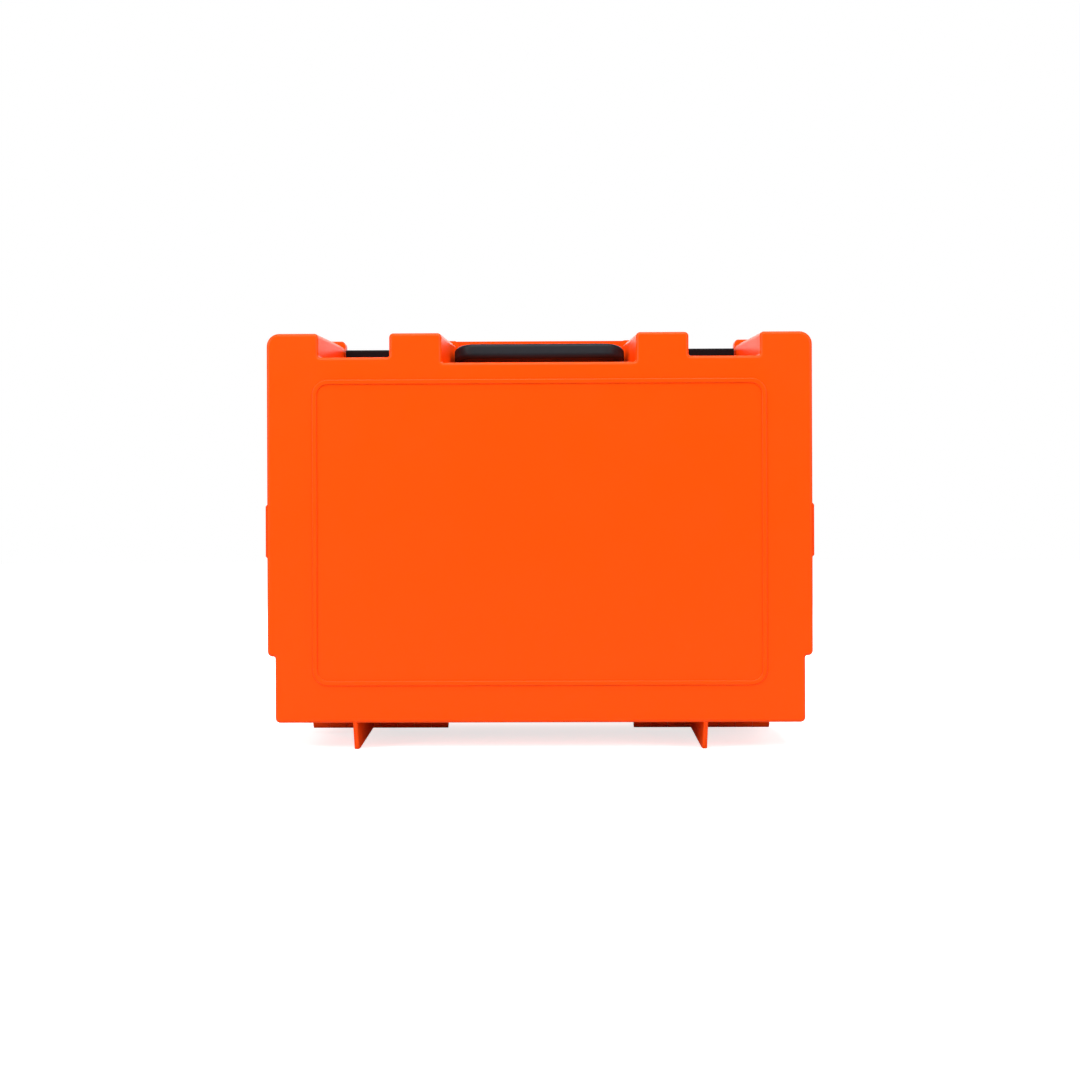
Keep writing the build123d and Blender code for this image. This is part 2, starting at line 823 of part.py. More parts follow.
def split(low, high, count, gap):
    """Equal spans from low to high with a gap between them."""
    size = (high - low - gap * (count - 1)) / count
    return [(low + index * (size + gap), low + index * (size + gap) + size) for index in range(count)]


# six gauze bandage rolls, in two columns
left, right, low, high = cell(lower_walls, 0, low_floor, shelf_low)
roll_radius = min((right - left) / 4, (high - low) / 6) - fit_gap / 4
roll_middle = (left + right) / 2
number = 0
for row in range(3):
    for hand in sides.values():
        number += 1
        with BuildPart() as bandage_roll:
            with BuildSketch(face_plane(1, packed_front)):
                z = low + roll_radius + row * (2 * roll_radius + fit_gap / 2)
                with Locations((roll_middle + hand * (roll_radius + fit_gap / 2), z)):
                    Circle(roll_radius)
            extrude(amount=packed_front - packed_back)
            fillet(bandage_roll.edges().filter_by(GeomType.CIRCLE), 1.5)
        save(bandage_roll.part, f"bandage_roll_{number}")

# four wound dressings, stacked
left, right, low, high = cell(lower_walls, 1, low_floor, shelf_low)
for index, span in enumerate(split(low, high, 4, fit_gap)):
    dressing = packet(((left, right), (packed_front, packed_back), span), 3.0)
    save(dressing, f"wound_dressing_{index + 1}")

# a cold pack in front of a triangular bandage and a burn sheet, standing
left, right, low, high = cell(lower_walls, 2, low_floor, shelf_low)
for name, span in zip(
    ("cold_pack", "triangular_bandage", "burn_sheet"), split(packed_front, packed_back, 3, fit_gap)
):
    save(packet(((left, right), span, (low, high - 8)), 3.0), name)

# a carton of plasters with two spools of tape on it
left, right, low, high = cell(upper_walls, 0, shelf_height, ceiling)
carton_top = low + 0.52 * (high - low)
save(packet(((left + 6, right), (packed_front, packed_back), (low, carton_top)), 0.6), "plaster_carton")
spool_outer = min((high - carton_top) / 2, (right - left - 6 - fit_gap) / 4) - fit_gap / 2
tape_radius = spool_outer - 1.0
spool_radius = 0.52 * tape_radius
for index, (start, end) in enumerate(split(left + 6, right, 2, fit_gap)):
    x, z = (start + end) / 2, carton_top + spool_outer
    tape_width, spool_wall = 25.0, 1.4
    with BuildPart() as tape_spool:
        with BuildSketch(face_plane(1, packed_front + 2)):
            with Locations((x, z)):
                Circle(spool_outer)
                Circle(spool_radius - spool_wall, mode=Mode.SUBTRACT)
        extrude(amount=-spool_wall)
        with BuildSketch(face_plane(1, packed_front + 2 + spool_wall)):
            with Locations((x, z)):
                Circle(spool_radius)
                Circle(spool_radius - spool_wall, mode=Mode.SUBTRACT)
        extrude(amount=-tape_width)
    save(tape_spool.part, f"tape_spool_{index + 1}")
    with BuildPart() as tape:
        with BuildSketch(face_plane(1, packed_front + 2 + spool_wall)):
            with Locations((x, z)):
                Circle(tape_radius)
                Circle(spool_radius, mode=Mode.SUBTRACT)
        extrude(amount=-tape_width)
    save(tape.part, f"tape_{index + 1}")

# a pack of gloves in front of four sterile compresses, standing
left, right, low, high = cell(upper_walls, 1, shelf_height, ceiling)
glove_back = packed_front + 14
save(packet(((left, right), (packed_front, glove_back), (low, high - 12)), 4.0), "glove_pack")
for index, span in enumerate(split(glove_back + fit_gap, packed_back, 4, fit_gap)):
    save(packet(((left + 8, right - 8), span, (low, high - 16)), 2.0), f"compress_{index + 1}")

# a rescue blanket in front of a pack of wipes
left, right, low, high = cell(upper_walls, 2, shelf_height, ceiling)
halves = split(packed_front, packed_back, 2, fit_gap)
save(packet(((left, right - 6), halves[0], (low, high - 10)), 4.0), "rescue_blanket")
save(packet(((left, right - 6), halves[1], (low, high - 14)), 4.0), "wipes_pack")

# ================================================================ guide and its pocket
with BuildPart() as guide_booklet:
    with BuildSketch(face_plane(-1, inner_face - knuckle_gap)):
        with Locations((guide_middle, (guide_low + guide_high) / 2)):
            Rectangle(guide_width, guide_high - guide_low)
    extrude(amount=-guide_thick)
    upright_edges = guide_booklet.edges().filter_by(Axis.Z)
    fillet(upright_edges.group_by(Axis.X)[0], 1.6)
save(guide_booklet.part, "guide_booklet")

with BuildPart() as guide_pocket:
    with BuildSketch(face_plane(-1, inner_face - rail_rise)):
        with Locations((guide_middle, (guide_low + guide_high) / 2 - 12)):
            Rectangle(2 * rail_offset + rail_width, guide_high - guide_low - 20)
        with Locations((guide_middle, guide_high - 22)):
            Circle(16, mode=Mode.SUBTRACT)
    extrude(amount=-pocket_thick)
save(guide_pocket.part, "guide_pocket")


# ================================================================ scissors
def scissors_half(hand, distance):
    """One half of the scissors: a blade below the rivet and a ring above it, in a flat layer."""
    ring_x, ring_z = hand * (scissors_ring + 1.0), scissors_blade * 0.78
    plane = Plane(face_plane(-1, distance).origin + (scissors_x, 0, scissors_z), (1, 0, 0), (0, -1, 0))
    with BuildPart() as half:
        with BuildSketch(plane) as blade:
            with BuildLine():
                Polyline(
                    (-hand * 5, 6),
                    (hand * 4, 5),
                    (hand * 5, -8),
                    (hand * 1.0, -scissors_blade),
                    (-hand * 4.5, -12),
                    close=True,
                )
            make_face()
            with BuildLine():
                Polyline(
                    (-hand * 5, 0),
                    (hand * 4.5, -2),
                    (ring_x + hand * 2, ring_z - scissors_ring - 3),
                    (ring_x - hand * 6, ring_z - scissors_ring + 2),
                    close=True,
                )
            make_face()
            Circle(6)
            with Locations((ring_x, ring_z)):
                Ellipse(scissors_ring, scissors_ring * 1.3)
                Ellipse(scissors_ring - 4.5, scissors_ring * 1.3 - 4.5, mode=Mode.SUBTRACT)
            Circle(pin_radius + running_clearance, mode=Mode.SUBTRACT)
        extrude(amount=-scissors_metal)
    return half.part


fixed_distance = inner_face - rail_rise
moving_distance = fixed_distance - scissors_metal - knuckle_gap
save(scissors_half(1, fixed_distance), "scissors_fixed_half")
save(scissors_half(-1, moving_distance), "scissors_moving_half")
with BuildPart() as scissors_rivet:
    with BuildSketch(face_plane(-1, fixed_distance)):
        with Locations((scissors_x, scissors_z)):
            Circle(pin_radius)
    extrude(amount=-(2 * scissors_metal + 2 * knuckle_gap))
    with BuildSketch(face_plane(-1, moving_distance - scissors_metal - knuckle_gap)):
        with Locations((scissors_x, scissors_z)):
            Circle(2 * pin_radius)
    extrude(amount=-1.0)
save(scissors_rivet.part, "scissors_rivet")
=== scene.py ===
# %% [markdown]
# # First aid case
# An upright case of two moulded half shells, standing on four fins. The measured frame brings in every
# hard piece at its real place. This lesson adds what a frame can't hold: the look of each plastic, metal,
# paper and film, and the soft packed goods. Lengths are metres, +X is right, +Y runs from the lid to the
# base, and +Z is up.

# %% Load the frame
import math

import bpy
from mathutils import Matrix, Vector


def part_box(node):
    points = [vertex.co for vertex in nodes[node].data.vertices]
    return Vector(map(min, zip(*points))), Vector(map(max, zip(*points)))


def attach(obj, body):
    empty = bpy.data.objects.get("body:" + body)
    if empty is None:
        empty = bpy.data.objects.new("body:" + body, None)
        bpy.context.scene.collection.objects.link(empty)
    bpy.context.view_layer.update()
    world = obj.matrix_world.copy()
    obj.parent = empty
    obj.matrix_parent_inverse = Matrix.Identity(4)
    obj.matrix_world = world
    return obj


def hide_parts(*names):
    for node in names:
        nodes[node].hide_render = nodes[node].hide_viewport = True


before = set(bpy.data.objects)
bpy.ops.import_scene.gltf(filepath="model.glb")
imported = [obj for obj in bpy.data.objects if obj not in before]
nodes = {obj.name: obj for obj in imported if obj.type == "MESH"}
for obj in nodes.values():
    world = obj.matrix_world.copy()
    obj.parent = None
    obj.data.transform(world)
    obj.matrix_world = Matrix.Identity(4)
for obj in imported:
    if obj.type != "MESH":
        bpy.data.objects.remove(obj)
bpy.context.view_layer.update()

MM = 0.001

# %% [markdown]
# ## Camera
# The case is seen straight from the front, from close by, so that its sides and top draw together
# behind the face. A long lens from far away would flatten it, and a very wide one would swell the face.
# The camera stands level with the middle of the face, at half the case's height, a little to its right.

# %% Camera
def aimed(thing, target):
    """Turns a camera or lamp so that it looks at a point."""
    thing.rotation_euler = (Vector(target) - thing.location).to_track_quat("-Z", "Y").to_euler()


camera_height = 0.150
camera_distance = 0.851  # from the lid's face
face_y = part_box("front_shell")[0].y + 0.0009
camera_data = bpy.data.cameras.new("camera")
camera_data.sensor_width = 36.0
camera_data.lens = 39.95
camera = bpy.data.objects.new("camera", camera_data)
bpy.context.scene.collection.objects.link(camera)
camera_side = 0.009  # a little to the right of the middle
camera.location = (camera_side, face_y - camera_distance, camera_height)
aimed(camera, (0.0005, face_y, camera_height))
camera.rotation_euler.rotate_axis("Z", math.radians(-0.2))  # the camera leans very slightly
bpy.context.scene.camera = camera
print("camera at", tuple(round(v, 3) for v in camera.location))

# %% [markdown]
# ## Floor and light
# A studio packshot: a white table, a white room, and five large soft lamps. The lamp above lights the
# tops of the towers, the two at the sides graze the rounded edges, which is what shows their roundness,
# one fills the front and one lights the back. Point lamps would put hard glints on satin plastic, so every
# lamp is broad.

# %% Floor
bpy.ops.object.select_all(action="DESELECT")
bpy.ops.mesh.primitive_plane_add(size=12, location=(0, 1.0, 0))
floor = bpy.context.object
floor.name = "floor"
floor_look = bpy.data.materials.new("white_table")
floor_look.use_nodes = True
tree = floor_look.node_tree
table_shader = tree.nodes["Principled BSDF"]
table_shader.inputs["Roughness"].default_value = 0.9
table_shader.inputs["Specular IOR Level"].default_value = 0.1
# the table looks white all over, yet sends only some of that light back up under the case
rays = tree.nodes.new("ShaderNodeLightPath")
table_tint = tree.nodes.new("ShaderNodeMix")
table_tint.data_type = "RGBA"
table_tint.inputs[6].default_value = (0.6, 0.6, 0.6, 1)
table_tint.inputs[7].default_value = (0.95, 0.95, 0.95, 1)
tree.links.new(rays.outputs["Is Camera Ray"], table_tint.inputs[0])
tree.links.new(table_tint.outputs[2], table_shader.inputs["Base Color"])
table_shader.inputs["Emission Color"].default_value = (1, 1, 1, 1)
# far from the lamps the table would turn grey, so its glow grows with the distance from the case
where = tree.nodes.new("ShaderNodeNewGeometry")
distance = tree.nodes.new("ShaderNodeVectorMath")
distance.operation = "LENGTH"
tree.links.new(where.outputs["Position"], distance.inputs[0])
spread = tree.nodes.new("ShaderNodeMapRange")
for label, value in (("From Min", 0.3), ("From Max", 1.6), ("To Min", 0.72), ("To Max", 1.0)):
    spread.inputs[label].default_value = value
tree.links.new(distance.outputs["Value"], spread.inputs["Value"])
glow = tree.nodes.new("ShaderNodeMath")
glow.operation = "MULTIPLY"
tree.links.new(spread.outputs["Result"], glow.inputs[1])
tree.links.new(rays.outputs["Is Camera Ray"], glow.inputs[0])
tree.links.new(glow.outputs[0], table_shader.inputs["Emission Strength"])
floor.data.materials.append(floor_look)


# %% Lamps and room
def softbox(name, place, target, width, height, power):
    """A broad rectangular lamp."""
    data = bpy.data.lights.new(name, "AREA")
    data.shape = "RECTANGLE"
    data.size, data.size_y = width, height
    data.energy = power
    lamp = bpy.data.objects.new(name, data)
    bpy.context.scene.collection.objects.link(lamp)
    lamp.location = place
    aimed(lamp, target)
    return lamp


middle = (0, 0, 0.15)
softbox("lamp_above", (0, -0.35, 1.35), middle, 1.4, 0.8, 16)
softbox("lamp_left", (-1.30, -0.95, 0.75), middle, 0.8, 1.0, 17)
softbox("lamp_right", (1.30, -0.95, 0.70), middle, 0.8, 1.0, 12)
softbox("lamp_front", (0.0, -1.5, 1.45), middle, 1.8, 0.7, 10)
softbox("lamp_behind", (0.0, 1.5, 0.9), middle, 1.6, 0.8, 10)

world = bpy.data.worlds.new("white_room")
bpy.context.scene.world = world
world.use_nodes = True
room = world.node_tree
background = room.nodes["Background"]
background.inputs["Color"].default_value = (1, 1, 1, 1)
rays = room.nodes.new("ShaderNodeLightPath")
room_light = room.nodes.new("ShaderNodeMapRange")
room_light.inputs["To Min"].default_value = 0.06
room_light.inputs["To Max"].default_value = 1.0
room.links.new(rays.outputs["Is Camera Ray"], room_light.inputs["Value"])
room.links.new(room_light.outputs["Result"], background.inputs["Strength"])
bpy.context.scene.view_settings.view_transform = "Standard"

# %% [markdown]
# ## Effects that several materials share
# Each effect is a node group with named inputs, built once. Moulded plastic is never a flat colour: its
# mould was spark eroded, so it has a fine grain, the resin's tint drifts a little, handling polishes it in
# patches, and a few specks of dust settle on it. A group gives out only a colour, mask, value or normal.

# %% Group builder
def new_group(name, inputs, outputs):
    """A shader node group with those sockets: (name, kind, value) in, and (name, kind) out."""
    group = bpy.data.node_groups.new(name, "ShaderNodeTree")
    for label, kind, value in inputs:
        socket = group.interface.new_socket(label, in_out="INPUT", socket_type=kind)
        socket.default_value = value
    for label, kind in outputs:
        group.interface.new_socket(label, in_out="OUTPUT", socket_type=kind)
    return group, group.nodes.new("NodeGroupInput"), group.nodes.new("NodeGroupOutput")


COLOUR, FLOAT, NORMAL = "NodeSocketColor", "NodeSocketFloat", "NodeSocketVector"


def noise(tree, scale, detail=2.0, roughness=0.5, stretch=None):
    """A noise texture on the object's own coordinates, in cells per metre."""
    coordinates = tree.nodes.new("ShaderNodeTexCoord")
    texture = tree.nodes.new("ShaderNodeTexNoise")
    texture.inputs["Detail"].default_value = detail
    texture.inputs["Roughness"].default_value = roughness
    if isinstance(scale, (int, float)):
        texture.inputs["Scale"].default_value = scale
    else:
        tree.links.new(scale, texture.inputs["Scale"])
    source = coordinates.outputs["Object"]
    if stretch:
        mapping = tree.nodes.new("ShaderNodeMapping")
        mapping.inputs["Scale"].default_value = stretch
        tree.links.new(source, mapping.inputs["Vector"])
        source = mapping.outputs["Vector"]
    tree.links.new(source, texture.inputs["Vector"])
    return texture.outputs["Fac"]


def ramp(tree, value, low, high, from_value, to_value):
    """Maps a value from one range to another, clamped."""
    node = tree.nodes.new("ShaderNodeMapRange")
    for label, number in zip(("From Min", "From Max", "To Min", "To Max"), (low, high, from_value, to_value)):
        if isinstance(number, (int, float)):
            node.inputs[label].default_value = number
        else:
            tree.links.new(number, node.inputs[label])
    tree.links.new(value, node.inputs["Value"])
    return node.outputs["Result"]


def mixed(tree, factor, first, second, blend="MIX"):
    """Mixes two colours by a factor. Each may be a socket or a fixed value."""
    node = tree.nodes.new("ShaderNodeMix")
    node.data_type = "RGBA"
    node.blend_type = blend
    for socket, value in ((node.inputs[0], factor), (node.inputs[6], first), (node.inputs[7], second)):
        if isinstance(value, bpy.types.NodeSocket):
            tree.links.new(value, socket)
        else:
            socket.default_value = value
    return node.outputs[2]


def maths(tree, operation, first, second):
    node = tree.nodes.new("ShaderNodeMath")
    node.operation = operation
    for socket, value in zip(node.inputs, (first, second)):
        if isinstance(value, bpy.types.NodeSocket):
            tree.links.new(value, socket)
        else:
            socket.default_value = value
    return node.outputs[0]


# %% Moulded plastic: colour, gloss and grain
def moulded_group():
    """Tint drift, polished patches and mould grain on moulded plastic."""
    group, given, out = new_group(
        "moulded_plastic",
        [
            ("Color", COLOUR, (0.8, 0.1, 0.01, 1)),
            ("Drift", FLOAT, 0.05),
            ("Roughness", FLOAT, 0.4),
            ("Gloss Spread", FLOAT, 0.06),
            ("Grain Scale", FLOAT, 900.0),
            ("Grain Depth", FLOAT, 0.15),
        ],
        [("Color", COLOUR), ("Roughness", FLOAT), ("Normal", NORMAL)],
    )
    broad = noise(group, 9.0, 3.0)
    drift = maths(group, "MULTIPLY", maths(group, "SUBTRACT", broad, 0.5), given.outputs["Drift"])
    bright = maths(group, "ADD", drift, 1.0)
    shaded = group.nodes.new("ShaderNodeHueSaturation")
    group.links.new(given.outputs["Color"], shaded.inputs["Color"])
    group.links.new(bright, shaded.inputs["Value"])
    group.links.new(shaded.outputs["Color"], out.inputs["Color"])
    patches = maths(group, "SUBTRACT", noise(group, 35.0, 5.0, 0.6), 0.5)
    gloss = maths(group, "MULTIPLY", patches, given.outputs["Gloss Spread"])
    rough = maths(group, "ADD", maths(group, "MULTIPLY", gloss, 2.0), given.outputs["Roughness"])
    group.links.new(rough, out.inputs["Roughness"])
    grain = noise(group, given.outputs["Grain Scale"], 2.0, 0.6)
    bump = group.nodes.new("ShaderNodeBump")
    bump.inputs["Distance"].default_value = 0.0002
    group.links.new(given.outputs["Grain Depth"], bump.inputs["Strength"])
    group.links.new(grain, bump.inputs["Height"])
    group.links.new(bump.outputs["Normal"], out.inputs["Normal"])
    return group


# %% Dust: a few pale specks
def dust_group():
    """A mask of small specks that lie here and there."""
    group, given, out = new_group("dust", [("Amount", FLOAT, 0.1)], [("Mask", FLOAT)])
    coordinates = group.nodes.new("ShaderNodeTexCoord")
    cells = group.nodes.new("ShaderNodeTexVoronoi")
    cells.inputs["Scale"].default_value = 130.0
    group.links.new(coordinates.outputs["Object"], cells.inputs["Vector"])
    near = ramp(group, cells.outputs["Distance"], 0.035, 0.07, 1.0, 0.0)
    chosen = group.nodes.new("ShaderNodeSeparateColor")
    group.links.new(cells.outputs["Color"], chosen.inputs["Color"])
    picked = maths(group, "LESS_THAN", chosen.outputs[0], given.outputs["Amount"])
    group.links.new(maths(group, "MULTIPLY", near, picked), out.inputs["Mask"])
    return group


MOULDED, DUST = moulded_group(), dust_group()
print("node groups:", [g.name for g in bpy.data.node_groups])


# %% [markdown]
# ## Moulded plastics
# The shells are orange ABS with a satin grain, the handle is slate grey and the latches are black. They
# are one kind of finish with different values, so one function makes them all. Satin plastic keeps a
# weak, broad reflection over a strong colour, so its specular level is set low. Only the smooth insert has
# a little coat.

# %% Plastic materials
gloss_spread = 0.06


def place_group(tree, group, **values):
    """Puts a node group into a material and sets its inputs."""
    node = tree.nodes.new("ShaderNodeGroup")
    node.node_tree = group
    for label, value in values.items():
        node.inputs[label.replace("_", " ")].default_value = value
    return node


def plastic(name, colour, roughness, drift, grain, scale, dust=0.0, coat=0.0, sheen=0.5):
    """A moulded plastic: drift is in its tint, grain is its depth and scale its fineness."""
    material = bpy.data.materials.new(name)
    material.use_nodes = True
    tree = material.node_tree
    shader = tree.nodes["Principled BSDF"]
    skin = place_group(
        tree,
        MOULDED,
        Color=(*colour, 1),
        Drift=drift,
        Roughness=roughness,
        Gloss_Spread=gloss_spread,
        Grain_Scale=scale,
        Grain_Depth=grain,
    )
    body = skin.outputs["Color"]
    if dust:
        specks = place_group(tree, DUST, Amount=dust)
        body = mixed(tree, specks.outputs["Mask"], body, (0.75, 0.7, 0.65, 1))
    tree.links.new(body, shader.inputs["Base Color"])
    tree.links.new(skin.outputs["Roughness"], shader.inputs["Roughness"])
    tree.links.new(skin.outputs["Normal"], shader.inputs["Normal"])
    shader.inputs["Specular IOR Level"].default_value = sheen
    shader.inputs["Coat Weight"].default_value = coat
    shader.inputs["Coat Roughness"].default_value = 0.25
    return material


def wear(material, *names):
    """Gives CAD nodes that material, and nothing else."""
    for name in names:
        mesh = nodes[name].data
        mesh.materials.clear()
        mesh.materials.append(material)


orange = plastic("orange_abs", (0.97, 0.072, 0.0), 0.36, 0.03, 0.10, 1100.0, dust=0.002, sheen=0.14)
slate = plastic("slate_handle", (0.012, 0.014, 0.018), 0.42, 0.12, 0.20, 1400.0, dust=0.004, sheen=0.16)
black = plastic("black_latch", (0.006, 0.003, 0.004), 0.50, 0.10, 0.15, 1400.0, sheen=0.10)
light_grey = plastic("grey_insert", (0.62, 0.63, 0.64), 0.30, 0.03, 0.05, 700.0, coat=0.2)
white_nylon = plastic("white_nylon", (0.78, 0.78, 0.75), 0.45, 0.04, 0.15, 1400.0)
rubber = plastic("seal_rubber", (0.02, 0.02, 0.02), 0.75, 0.10, 0.30, 2200.0)
wear(orange, "front_shell", "rear_shell")
wear(slate, "handle")
wear(black, "latch_left", "latch_right")
wear(light_grey, "divider_insert")
wear(white_nylon, "cover_knob_left", "cover_knob_right", "tape_spool_1", "tape_spool_2")
wear(rubber, "rim_seal")
print("plastics:", [m.name for m in (orange, slate, black, light_grey, white_nylon, rubber)])

# %% [markdown]
# ## Steel, clear plastic, paper, gauze and foil
# The pins and scissors are polished stainless steel, with fine marks from the polishing belt. The cover and
# the guide's pocket are clear film with a faint haze. The supplies are wrapped in paper, film and foil, or
# are woven gauze. The weave and the paper's fibre are shared effects, so each is one node group.

# %% Weave and fibre
def weave_group():
    """Crossing threads of an open woven cloth."""
    group, given, out = new_group(
        "weave",
        [("Color", COLOUR, (0.9, 0.88, 0.82, 1)), ("Threads", FLOAT, 900.0), ("Depth", FLOAT, 0.5)],
        [("Color", COLOUR), ("Normal", NORMAL)],
    )
    coordinates = group.nodes.new("ShaderNodeTexCoord")
    bands = []
    for direction in ("X", "Y", "Z"):
        wave = group.nodes.new("ShaderNodeTexWave")
        wave.bands_direction = direction
        wave.inputs["Distortion"].default_value = 0.6
        wave.inputs["Detail"].default_value = 1.0
        group.links.new(coordinates.outputs["Object"], wave.inputs["Vector"])
        group.links.new(given.outputs["Threads"], wave.inputs["Scale"])
        bands.append(wave.outputs["Fac"])
    height = maths(group, "MAXIMUM", maths(group, "MAXIMUM", bands[0], bands[1]), bands[2])
    shade = maths(group, "ADD", maths(group, "MULTIPLY", height, 0.25), 0.75)
    uneven = maths(group, "ADD", maths(group, "MULTIPLY", noise(group, 60.0, 3.0), 0.14), 0.93)
    tinted = group.nodes.new("ShaderNodeHueSaturation")
    group.links.new(given.outputs["Color"], tinted.inputs["Color"])
    group.links.new(maths(group, "MULTIPLY", shade, uneven), tinted.inputs["Value"])
    group.links.new(tinted.outputs["Color"], out.inputs["Color"])
    bump = group.nodes.new("ShaderNodeBump")
    bump.inputs["Distance"].default_value = 0.0003
    group.links.new(given.outputs["Depth"], bump.inputs["Strength"])
    group.links.new(height, bump.inputs["Height"])
    group.links.new(bump.outputs["Normal"], out.inputs["Normal"])
    return group


def creased_group():
    """The soft creases and fibre of a thin wrapping."""
    group, given, out = new_group(
        "creased_wrap",
        [("Color", COLOUR, (0.9, 0.9, 0.9, 1)), ("Crease Scale", FLOAT, 60.0), ("Crease Depth", FLOAT, 0.4)],
        [("Color", COLOUR), ("Roughness", FLOAT), ("Normal", NORMAL)],
    )
    coordinates = group.nodes.new("ShaderNodeTexCoord")
    folds = group.nodes.new("ShaderNodeTexVoronoi")
    folds.feature = "SMOOTH_F1"
    group.links.new(coordinates.outputs["Object"], folds.inputs["Vector"])
    group.links.new(given.outputs["Crease Scale"], folds.inputs["Scale"])
    fibre = noise(group, 700.0, 4.0, 0.6)
    height = maths(group, "ADD", folds.outputs["Distance"], maths(group, "MULTIPLY", fibre, 0.08))
    tint = maths(group, "ADD", maths(group, "MULTIPLY", noise(group, 45.0, 3.0), 0.12), 0.94)
    tinted = group.nodes.new("ShaderNodeHueSaturation")
    group.links.new(given.outputs["Color"], tinted.inputs["Color"])
    group.links.new(tint, tinted.inputs["Value"])
    group.links.new(tinted.outputs["Color"], out.inputs["Color"])
    group.links.new(ramp(group, fibre, 0.3, 0.7, 0.35, 0.6), out.inputs["Roughness"])
    bump = group.nodes.new("ShaderNodeBump")
    bump.inputs["Distance"].default_value = 0.0012
    group.links.new(given.outputs["Crease Depth"], bump.inputs["Strength"])
    group.links.new(height, bump.inputs["Height"])
    group.links.new(bump.outputs["Normal"], out.inputs["Normal"])
    return group


WEAVE, CREASED = weave_group(), creased_group()
print("wrap groups:", WEAVE.name, CREASED.name)

# %% Steel and clear plastic
def steel(name, colour):
    """Polished steel with fine belt marks."""
    material = bpy.data.materials.new(name)
    material.use_nodes = True
    tree = material.node_tree
    shader = tree.nodes["Principled BSDF"]
    shader.inputs["Metallic"].default_value = 1.0
    marks = noise(tree, 500.0, 3.0, 0.6, (1.0, 1.0, 0.08))
    tree.links.new(ramp(tree, marks, 0.3, 0.7, 0.18, 0.36), shader.inputs["Roughness"])
    darker = (*(0.86 * v for v in colour), 1)
    tree.links.new(mixed(tree, noise(tree, 60.0, 3.0), darker, (*colour, 1)), shader.inputs["Base Color"])
    return material


def clear(name, colour, haze):
    """Clear plastic sheet with a faint handling haze."""
    material = bpy.data.materials.new(name)
    material.use_nodes = True
    tree = material.node_tree
    shader = tree.nodes["Principled BSDF"]
    shader.inputs["Transmission Weight"].default_value = 0.96
    shader.inputs["IOR"].default_value = 1.2
    tint = (*(0.96 * v for v in colour), 1)
    tree.links.new(mixed(tree, noise(tree, 12.0, 3.0), tint, (*colour, 1)), shader.inputs["Base Color"])
    tree.links.new(ramp(tree, noise(tree, 25.0, 4.0), 0.35, 0.7, 0.02, haze), shader.inputs["Roughness"])
    return material


pin_steel = steel("pin_steel", (0.62, 0.62, 0.64))
blade_steel = steel("blade_steel", (0.72, 0.72, 0.73))
clear_sheet = clear("clear_sheet", (0.95, 0.97, 0.98), 0.12)
pocket_film = clear("pocket_film", (0.93, 0.95, 0.97), 0.2)
pins = [name for name in nodes if "_pin_" in name]
wear(pin_steel, "scissors_rivet", *pins)
wear(blade_steel, "scissors_fixed_half", "scissors_moving_half")
wear(clear_sheet, "clear_cover")
wear(pocket_film, "guide_pocket")
print("steel on", len(pins) + 3, "pieces")

# %% Wrappings and cloths
def wrapping(name, colour, scale, depth, metal=0.0, coat=0.0):
    """Creased paper, film or foil."""
    material = bpy.data.materials.new(name)
    material.use_nodes = True
    tree = material.node_tree
    shader = tree.nodes["Principled BSDF"]
    skin = place_group(tree, CREASED, Color=(*colour, 1), Crease_Scale=scale, Crease_Depth=depth)
    for label in ("Color", "Roughness", "Normal"):
        target = "Base Color" if label == "Color" else label
        tree.links.new(skin.outputs[label], shader.inputs[target])
    shader.inputs["Metallic"].default_value = metal
    shader.inputs["Coat Weight"].default_value = coat
    shader.inputs["Coat Roughness"].default_value = 0.12
    return material


def cloth(name, colour, threads, depth):
    """Woven cloth."""
    material = bpy.data.materials.new(name)
    material.use_nodes = True
    tree = material.node_tree
    shader = tree.nodes["Principled BSDF"]
    skin = place_group(tree, WEAVE, Color=(*colour, 1), Threads=threads, Depth=depth)
    tree.links.new(skin.outputs["Color"], shader.inputs["Base Color"])
    tree.links.new(skin.outputs["Normal"], shader.inputs["Normal"])
    shader.inputs["Roughness"].default_value = 0.9
    shader.inputs["Sheen Weight"].default_value = 0.2
    return material


gauze = cloth("bandage_gauze", (0.86, 0.83, 0.76), 500.0, 0.6)
tape_cloth = cloth("tape_cloth", (0.74, 0.56, 0.42), 900.0, 0.3)
paper_wrap = wrapping("paper_wrap", (0.82, 0.82, 0.79), 45.0, 0.35)
blue_film = wrapping("blue_film", (0.10, 0.32, 0.62), 38.0, 0.5, coat=0.6)
green_film = wrapping("green_film", (0.08, 0.42, 0.26), 38.0, 0.5, coat=0.6)
white_film = wrapping("white_film", (0.84, 0.86, 0.88), 40.0, 0.5, coat=0.6)
gold_foil = wrapping("gold_foil", (0.86, 0.62, 0.22), 70.0, 1.0, metal=1.0)
silver_foil = wrapping("silver_foil", (0.72, 0.73, 0.75), 60.0, 0.7, metal=1.0)
card = wrapping("white_card", (0.80, 0.80, 0.77), 8.0, 0.05)
guide_card = wrapping("guide_card", (0.06, 0.33, 0.20), 9.0, 0.08, coat=0.4)
wear(tape_cloth, "tape_1", "tape_2")
wear(guide_card, "guide_booklet")
print("wrappings:", [m.name for m in (paper_wrap, blue_film, green_film, white_film, gold_foil, card)])

# %% [markdown]
# ## Bandage rolls
# A rolled bandage shows a spiral at each end, where the turns of gauze lie on each other. A plain cylinder
# with a texture would not catch light between its turns, so one strip is wound as an edge, drawn out to the
# bandage's width, and given the cloth's thickness. One function winds every roll, each turned a little so
# that no two ends look alike.

# %% Helpers that hold what a hand would select
def deselect():
    """Leaves object mode with nothing selected."""
    if bpy.context.mode != "OBJECT":
        bpy.ops.object.mode_set(mode="OBJECT")
    bpy.ops.object.select_all(action="DESELECT")


